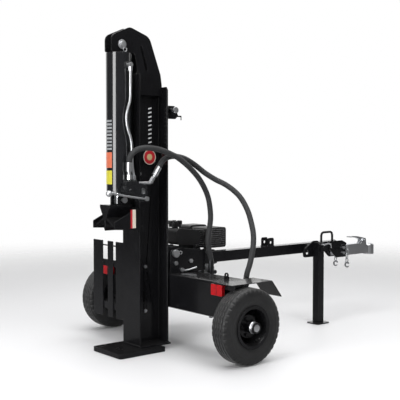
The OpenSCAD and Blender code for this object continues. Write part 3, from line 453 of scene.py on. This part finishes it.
cylinder_coat = patchy_finish(
    "cylinder_coat", (0.012, 0.0125, 0.014), 0.13, tone=0.2, spread=0.04, patch=4.0, grain=260.0,
    height=0.00004, bare=(0.12, 0.12, 0.12), wear=0.5, edge=0.0012, dust=0.03,
    Coat_Weight=0.8, Coat_Roughness=0.04)
dress(cylinder_coat, "cylinder_barrel", "cylinder_gland", "control_valve")
chrome_rod = patchy_finish(
    "chrome_rod", (0.74, 0.75, 0.77), 0.08, tone=0.05, spread=0.03, patch=12.0, grain=900.0,
    height=0.00001, Metallic=1.0)
dress(chrome_rod, "piston_rod")
machined = patchy_finish(
    "machined_steel", (0.48, 0.48, 0.49), 0.3, tone=0.10, spread=0.08, patch=20.0, grain=1200.0,
    height=0.00004, Metallic=1.0)
dress(machined, "piston", "valve_spool", "crankshaft")
dress(zinc, "cylinder_pin", "rod_pin", "work_port_pipe", "beam_hose_fittings", "valve_lever",
      edge=0.0005)
dress(black_coat, "wedge", "wedge_slide")

# ---------------------------------------------------------------- labels
# Plain vinyl labels round the barrel, a pressed badge and dashes on the web, and a stripe
# on the wedge's cheek, all with nothing written on them.

barrel_axis = Vector((-0.18, 0, 0))
barrel_radius = 0.0705
label_lift = 0.0003
label_first, label_last = math.radians(150), math.radians(204)


def label_finish(name, colour):
    return patchy_finish(name, colour, 0.34, tone=0.06, spread=0.05, patch=30.0, grain=700.0,
                         height=0.00003, Coat_Weight=0.25, Coat_Roughness=0.15)


def curved_label(name, material, low, high):
    """A thin label that lies round the barrel's front, between two heights."""
    shape = bmesh.new()
    steps = 18
    rows = []
    for z in (low, high):
        for lift in (label_lift / 3, label_lift):
            r = barrel_radius + lift
            rows.append([shape.verts.new(barrel_axis + Vector((r * math.cos(a), r * math.sin(a), z)))
                         for a in (label_first + (label_last - label_first) * k / steps
                                   for k in range(steps + 1))])
    inner_low, outer_low, inner_high, outer_high = rows
    for a, b in ((outer_low, outer_high), (inner_high, inner_low), (outer_high, inner_high),
                 (inner_low, outer_low)):
        for k in range(steps):
            shape.faces.new((a[k], a[k + 1], b[k + 1], b[k]))
    for k, order in ((0, 1), (steps, -1)):
        shape.faces.new([rows[n][k] for n in (0, 1, 3, 2)][::order])
    bmesh.ops.recalc_face_normals(shape, faces=shape.faces)
    piece = new_piece(name, shape, material, smooth=False)
    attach(piece, "beam")


orange_vinyl = label_finish("orange_vinyl", (0.66, 0.17, 0.09))
yellow_vinyl = label_finish("yellow_vinyl", (0.62, 0.56, 0.055))
grey_vinyl = label_finish("grey_vinyl", (0.30, 0.31, 0.32))
curved_label("label_orange", orange_vinyl, 1.032, 1.117)
curved_label("label_yellow", yellow_vinyl, 0.942, 1.017)
band_count, band_low, band_pitch, band_tall = 9, 1.130, 0.019, 0.011
for k in range(band_count):
    low = band_low + band_pitch * k
    curved_label(f"label_grey_{k}", grey_vinyl, low, low + band_tall)


def block(shape, low, high):
    """Adds a box between two corners to a bmesh."""
    made = bmesh.ops.create_cube(shape, size=1)["verts"]
    low, high = Vector(low), Vector(high)
    for vert in made:
        vert.co = Vector(((low[i] + high[i]) / 2 + vert.co[i] * (high[i] - low[i]) for i in range(3)))
    return made


def revolve(shape, rows, base, along, steps=48):
    """Adds a turned solid to a bmesh: rows are (radius, distance along the axis)."""
    base, along = Vector(base), Vector(along).normalized()
    side = along.orthogonal().normalized()
    other = along.cross(side)
    rings = []
    for radius, distance in rows:
        centre = base + along * distance
        rings.append([shape.verts.new(centre)] if radius == 0 else [
            shape.verts.new(centre + radius * (side * math.cos(a) + other * math.sin(a)))
            for a in (2 * math.pi * k / steps for k in range(steps))])
    for ring, following in zip(rings, rings[1:]):
        for k in range(steps):
            n = (k + 1) % steps
            corners = [ring[k % len(ring)], ring[n % len(ring)],
                       following[n % len(following)], following[k % len(following)]]
            shape.faces.new(list(dict.fromkeys(corners)))
    for ring, order in ((rings[0], -1), (rings[-1], 1)):
        if len(ring) > 1:
            shape.faces.new(ring[::order])
    return shape


red_vinyl = label_finish("red_vinyl", (0.52, 0.02, 0.03))
cream_vinyl = label_finish("cream_vinyl", (0.74, 0.66, 0.56))
gold_vinyl = label_finish("gold_vinyl", (0.66, 0.50, 0.26))
badge_place, badge_way, badge_steps = (0.026, -0.003, 1.092), (0, -1, 0), 64
for name, material, inner, outer, thick in (
        ("badge_rim", cream_vinyl, 0.0385, 0.0430, 0.0016),
        ("badge_ring", red_vinyl, 0.0180, 0.0387, 0.0010),
        ("badge_centre", gold_vinyl, 0.0, 0.0182, 0.0014)):
    rows = [(outer, 0), (outer, thick - 0.0003), (outer - 0.0004, thick)]
    if inner:
        rows = rows + [(inner, thick), (inner, 0)]
        shape = revolve(bmesh.new(), rows, badge_place, badge_way, badge_steps)
        discs = [face for face in shape.faces if len(face.verts) > 4]
        bmesh.ops.delete(shape, geom=discs, context="FACES_ONLY")
        verts = list(shape.verts)
        for k in range(badge_steps):
            n = (k + 1) % badge_steps
            shape.faces.new((verts[k - badge_steps], verts[n - badge_steps], verts[n], verts[k]))
        bmesh.ops.recalc_face_normals(shape, faces=shape.faces)
    else:
        rows = [(0, 0)] + rows + [(0, thick)]
        shape = revolve(bmesh.new(), rows, badge_place, badge_way, badge_steps)
    piece = new_piece(name, shape, material, smooth=False)
    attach(piece, "beam")

pale_vinyl = label_finish("pale_vinyl", (0.72, 0.73, 0.74))
dashes = bmesh.new()
dash_count, dash_pitch, dash_slant, dash_middle = 9, 0.024, 0.25, 0.029
for k in range(dash_count):
    up = dash_pitch * k
    for vert in block(dashes, (0.018, -0.0036, 1.172 + up), (0.040, -0.0031, 1.180 + up)):
        vert.co.z += dash_slant * (vert.co.x - dash_middle)
piece = new_piece("web_dashes", dashes, pale_vinyl, smooth=False)
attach(piece, "beam")
for name, material, front, back in (("cheek_stripe_red", red_vinyl, -0.178, -0.166),
                                    ("cheek_stripe_pale", cream_vinyl, -0.166, -0.144)):
    shape = bmesh.new()
    block(shape, (front, -0.1099, 0.703), (back, -0.1094, 0.804))
    piece = new_piece(name, shape, material, smooth=False)
    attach(piece, "ram")

# ---------------------------------------------------------------- tank, axle, fenders and lamps
# The oil tank is a folded and welded steel box that carries the axle stubs, the pressed
# fenders and two red lamps, with a moulded filler cap in its top.

dress(black_coat, "hydraulic_tank", "axle_stubs", "fenders")
moulded = patchy_finish(
    "moulded_plastic", (0.013, 0.013, 0.014), 0.42, tone=0.12, spread=0.06, patch=12.0, grain=1400.0,
    height=0.00012, dust=0.04)
dress(moulded, "tank_filler_cap")
black_oxide = patchy_finish(
    "black_oxide", (0.045, 0.046, 0.05), 0.34, tone=0.10, spread=0.06, patch=20.0, grain=800.0,
    height=0.00002, bare=(0.30, 0.30, 0.31), wear=0.4, edge=0.0008, Metallic=0.8)
dress(black_oxide, "trailer_hose_fittings", edge=0.0005)
rubber = patchy_finish(
    "hose_rubber", (0.022, 0.022, 0.023), 0.55, tone=0.2, spread=0.08, patch=25.0, grain=900.0,
    height=0.00012)
dress(rubber, "suction_hose")

lamp_lens, tree, shader = new_finish("lamp_lens", (0.62, 0.012, 0.02), 0.12, Coat_Weight=0.6,
                                     Coat_Roughness=0.05)
spot = add_node(tree, "ShaderNodeSeparateXYZ",
                Vector=add_node(tree, "ShaderNodeTexCoord").outputs["Object"])
rib_pitch = 0.006
rib = maths(tree, "ABSOLUTE", maths(tree, "SINE", maths(
    tree, "MULTIPLY", spot.outputs["Z"], math.pi / rib_pitch)))
# The lens is painted darker in the troughs between its ribs, following the rib height: painted shade.
lens_rib_shade = add_node(tree, "ShaderNodeMix", {"data_type": "RGBA"}, _0=rib, _6=(0.22, 0.002, 0.004, 1),
                _7=(0.62, 0.006, 0.012, 1))
tree.links.new(lens_rib_shade.outputs[2], shader.inputs["Base Color"])
raise_surface(tree, shader, rib, 0.0012)
dress(lamp_lens, "tail_lights")
lamp_low, lamp_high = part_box("tail_lights")
lamp_middle, lamp_half, divider_half = 0.526, 0.0455, 0.0015
for side, name in ((-1, "right"), (1, "left")):
    bars = bmesh.new()
    middle = side * lamp_middle
    block(bars, (lamp_low[0] - 0.001, middle - divider_half, lamp_low[2]),
          (lamp_low[0] + 0.004, middle + divider_half, lamp_high[2]))
    for z in (lamp_low[2] - 0.002, lamp_high[2] - 0.001):
        block(bars, (lamp_low[0] + 0.004, middle - lamp_half, z),
              (lamp_high[0], middle + lamp_half, z + 0.003))
    bar = new_piece(f"lamp_divider_{name}", bars, moulded, smooth=False)
    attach(bar, "trailer")

# ---------------------------------------------------------------- wheels
# Two pressed steel wheels on greased hubs, with small trailer tyres that have five ribs
# between zigzag grooves, and a bright pressed cap over each hub.

wheel_x, wheel_z, half_track = 0.191, 0.203, 0.638
dress(black_coat, "rim_right", "rim_left")
tyre_rubber = patchy_finish(
    "tyre_rubber", (0.014, 0.014, 0.0145), 0.5, tone=0.25, spread=0.08, patch=14.0, grain=700.0,
    height=0.0002, bare=(0.05, 0.049, 0.047), wear=0.5, edge=0.0016, dust=0.05, Sheen_Weight=0.05)

zig_count, steps_per_zig = 38, 8
# Each row is (offset from the middle, radius, share of the zigzag, share of the shoulder notch).
half_profile = [
    (0.0460, 0.1010, 0, 0), (0.0492, 0.1055, 0, 0), (0.0500, 0.1120, 0, 0), (0.0528, 0.1150, 0, 0),
    (0.0536, 0.1185, 0, 0), (0.0530, 0.1215, 0, 0), (0.0562, 0.1310, 0, 0), (0.0582, 0.1410, 0, 0),
    (0.0590, 0.1500, 0, 0), (0.0588, 0.1590, 0, 0), (0.0598, 0.1610, 0, 0), (0.0598, 0.1645, 0, 0),
    (0.0582, 0.1665, 0, 0), (0.0574, 0.1760, 0, 0), (0.0556, 0.1850, 0, 0), (0.0540, 0.1880, 0, 1),
    (0.0522, 0.1932, 0, 1), (0.0478, 0.1978, 0, 1), (0.0436, 0.2006, 0, 0.6), (0.0400, 0.2016, 0, 0),
    (0.0318, 0.2024, 1, 0), (0.0310, 0.1962, 1, 0), (0.0272, 0.1962, 1, 0), (0.0264, 0.2026, 1, 0),
    (0.0190, 0.2030, 0, 0), (0.0120, 0.2030, 1, 0), (0.0112, 0.1962, 1, 0), (0.0074, 0.1962, 1, 0),
    (0.0066, 0.2030, 1, 0)]
zig_depth, notch_depth = 0.0026, 0.0050


def tyre_shape(centre):
    rows = [(-y, r, z, n) for y, r, z, n in half_profile] + [(0.0, 0.2030, 0, 0)] + \
        [(y, r, z, n) for y, r, z, n in reversed(half_profile)]
    steps = zig_count * steps_per_zig
    shape = bmesh.new()
    rings = []
    for k in range(steps):
        phase = (k % steps_per_zig) / steps_per_zig
        zig = zig_depth * (abs(4 * phase - 2) - 1)
        cut = 1 if k % steps_per_zig in (1, 2) else 0
        turn = 2 * math.pi * k / steps
        ring = []
        for y, r, zag, notch in rows:
            reach = r - notch_depth * notch * cut
            ring.append(shape.verts.new(centre + Vector(
                (reach * math.cos(turn), y + zag * zig, reach * math.sin(turn)))))
        rings.append(ring)
    for k in range(steps):
        ring, following = rings[k], rings[(k + 1) % steps]
        for a in range(len(rows)):
            b = (a + 1) % len(rows)
            shape.faces.new((ring[a], ring[b], following[b], following[a]))
    bmesh.ops.recalc_face_normals(shape, faces=shape.faces)
    return shape


hub_cap_rows = [
    (0.0292, 0.0542), (0.0318, 0.0542), (0.0322, 0.0556), (0.0318, 0.0572), (0.0300, 0.0580),
    (0.0298, 0.0700), (0.0284, 0.0745), (0.0250, 0.0780), (0.0190, 0.0802), (0.0100, 0.0813), (0, 0.0815)]
stem_rows = [
    (0.0062, -0.006), (0.0062, 0.002), (0.0042, 0.006), (0.0036, 0.022), (0.0036, 0.0225),
    (0.0044, 0.0225), (0.0044, 0.034), (0.0036, 0.036), (0, 0.036)]
stem_turn, stem_reach, stem_out = math.radians(-62), 0.083, 0.036
stem_side = Vector((math.cos(stem_turn), 0, math.sin(stem_turn)))
for side, name in ((-1, "right"), (1, "left")):
    centre = Vector((wheel_x, side * half_track, wheel_z))
    out = Vector((0, side, 0))
    tyre = new_piece(f"tyre_{name}_ribbed", tyre_shape(centre), tyre_rubber)
    even = tyre.modifiers.new("even", "WEIGHTED_NORMAL")
    even.keep_sharp = False
    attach(tyre, f"wheel_{name}")
    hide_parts(f"tyre_{name}")
    cap = revolve(bmesh.new(), hub_cap_rows, centre, out, 64)
    piece = new_piece(f"hub_cap_{name}", cap, zinc)
    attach(piece, f"wheel_{name}")
    foot = centre + stem_reach * stem_side + out * stem_out
    stem = revolve(bmesh.new(), stem_rows, foot, out * 0.9 - stem_side * 0.45, 20)
    piece = new_piece(f"valve_stem_{name}", stem, rubber)
    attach(piece, f"wheel_{name}")

# ---------------------------------------------------------------- tow bar, pivot and jack
# A square tube from the tank to the hitch, with the bracket that the beam turns on, the
# folding jack leg and the grab handle, in the same black coat with plated pins.

dress(black_coat, "tongue_tube", "pivot_bracket", "jack_mount", "jack_leg", "grab_handle",
      "coupler_gusset", "engine_plate")
dress(zinc, "pivot_pin", "bracket_bolts", "tilt_lock_lever", "jack_pin", edge=0.0005)


def ring_clip(name, body, centre, radius, wire=0.0015):
    """A sprung wire ring, flat against the face it hangs on, with lapped ends."""
    steps, sweep_angle, lap = 40, 2.2 * math.pi, 0.003
    line = [Vector(centre) + Vector((radius * math.cos(a), -lap * k / steps, radius * math.sin(a)))
            for k, a in ((k, sweep_angle * k / steps) for k in range(steps + 1))]
    clip = new_piece(name, sweep(bmesh.new(), line, wire, 8), zinc)
    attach(clip, body)


pin_low, pin_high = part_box("cylinder_pin")
ring_clip("clip_cylinder_pin", "beam", ((pin_low[0] + pin_high[0]) / 2 + 0.012, pin_low[1] + 0.005,
                                        pin_low[2] - 0.002), 0.011)
pin_low, pin_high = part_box("pivot_pin")
ring_clip("clip_pivot_pin", "trailer", (pin_high[0] + 0.006, pin_low[1] + 0.006,
                                        (pin_low[2] + pin_high[2]) / 2 + 0.004), 0.009)

# ---------------------------------------------------------------- hitch
# A zinc-plated pressed ball coupler bolted between two gusset plates, with its lifting
# latch and the two safety chains.

dress(zinc, "coupler_body", "coupler_latch", "safety_chains", edge=0.0005)

# ---------------------------------------------------------------- engine and pump
# A single-cylinder petrol engine with die-cast cases, a blow-moulded fuel tank, a louvred
# guard over its muffler, and an aluminium gear pump on a bell housing.

cast_alloy = patchy_finish(
    "cast_alloy", (0.46, 0.47, 0.48), 0.45, tone=0.12, spread=0.08, patch=18.0, grain=650.0,
    height=0.0003, bare=(0.75, 0.75, 0.76), wear=0.5, edge=0.0015, Metallic=1.0)
engine_metal = patchy_finish(
    "engine_metal", (0.055, 0.056, 0.06), 0.5, tone=0.2, spread=0.08, patch=16.0, grain=520.0,
    height=0.0003, bare=(0.25, 0.25, 0.26), wear=0.5, edge=0.0015, dust=0.08, Metallic=0.6)
heat_black = patchy_finish(
    "heat_black", (0.018, 0.018, 0.018), 0.5, tone=0.25, spread=0.1, patch=15.0, grain=800.0,
    height=0.0001, bare=(0.16, 0.15, 0.14), wear=0.6, edge=0.0012, dust=0.06)
muffler_steel = patchy_finish(
    "muffler_steel", (0.30, 0.28, 0.26), 0.45, tone=0.3, spread=0.12, patch=22.0, grain=400.0,
    height=0.0001, Metallic=1.0)
dress(cast_alloy, "bell_housing", "gear_pump")
dress(engine_metal, "engine_block")
dress(heat_black, "muffler_guard")
dress(muffler_steel, "muffler")
guard_low, guard_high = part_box("muffler_guard")
slats = bmesh.new()
slat_count, slat_half, slat_proud, slat_sunk = 9, 0.0018, 0.0022, 0.0008
slat_slant, slant_limit = 0.6, 0.002
corner_gap, end_gap = 0.012, 0.014
rear_slat = ((guard_low[0] - slat_proud, guard_low[1] + corner_gap),
             (guard_low[0] + slat_sunk, guard_high[1] - corner_gap))
right_slat = ((guard_low[0] + corner_gap, guard_low[1] - slat_proud),
              (guard_high[0] - corner_gap, guard_low[1] + slat_sunk))
for k in range(slat_count):
    z = guard_low[2] + end_gap + k * (guard_high[2] - guard_low[2] - 2 * end_gap) / (slat_count - 1)
    for low, high in (rear_slat, right_slat):
        for vert in block(slats, (*low, z - slat_half), (*high, z + slat_half)):
            vert.co.z += slat_slant * min(abs(vert.co.x - guard_low[0]),
                                          abs(vert.co.y - guard_low[1]), slant_limit)
bmesh.ops.bevel(slats, geom=list(slats.edges), offset=0.0006, segments=1, affect="EDGES")
piece = new_piece("guard_slats", slats, machined, smooth=False)
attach(piece, "trailer")
dress(moulded, "fuel_tank", "fuel_cap", "air_cleaner", "recoil_housing", "recoil_grip")
dress(zinc, "throttle_lever", edge=0.0004)
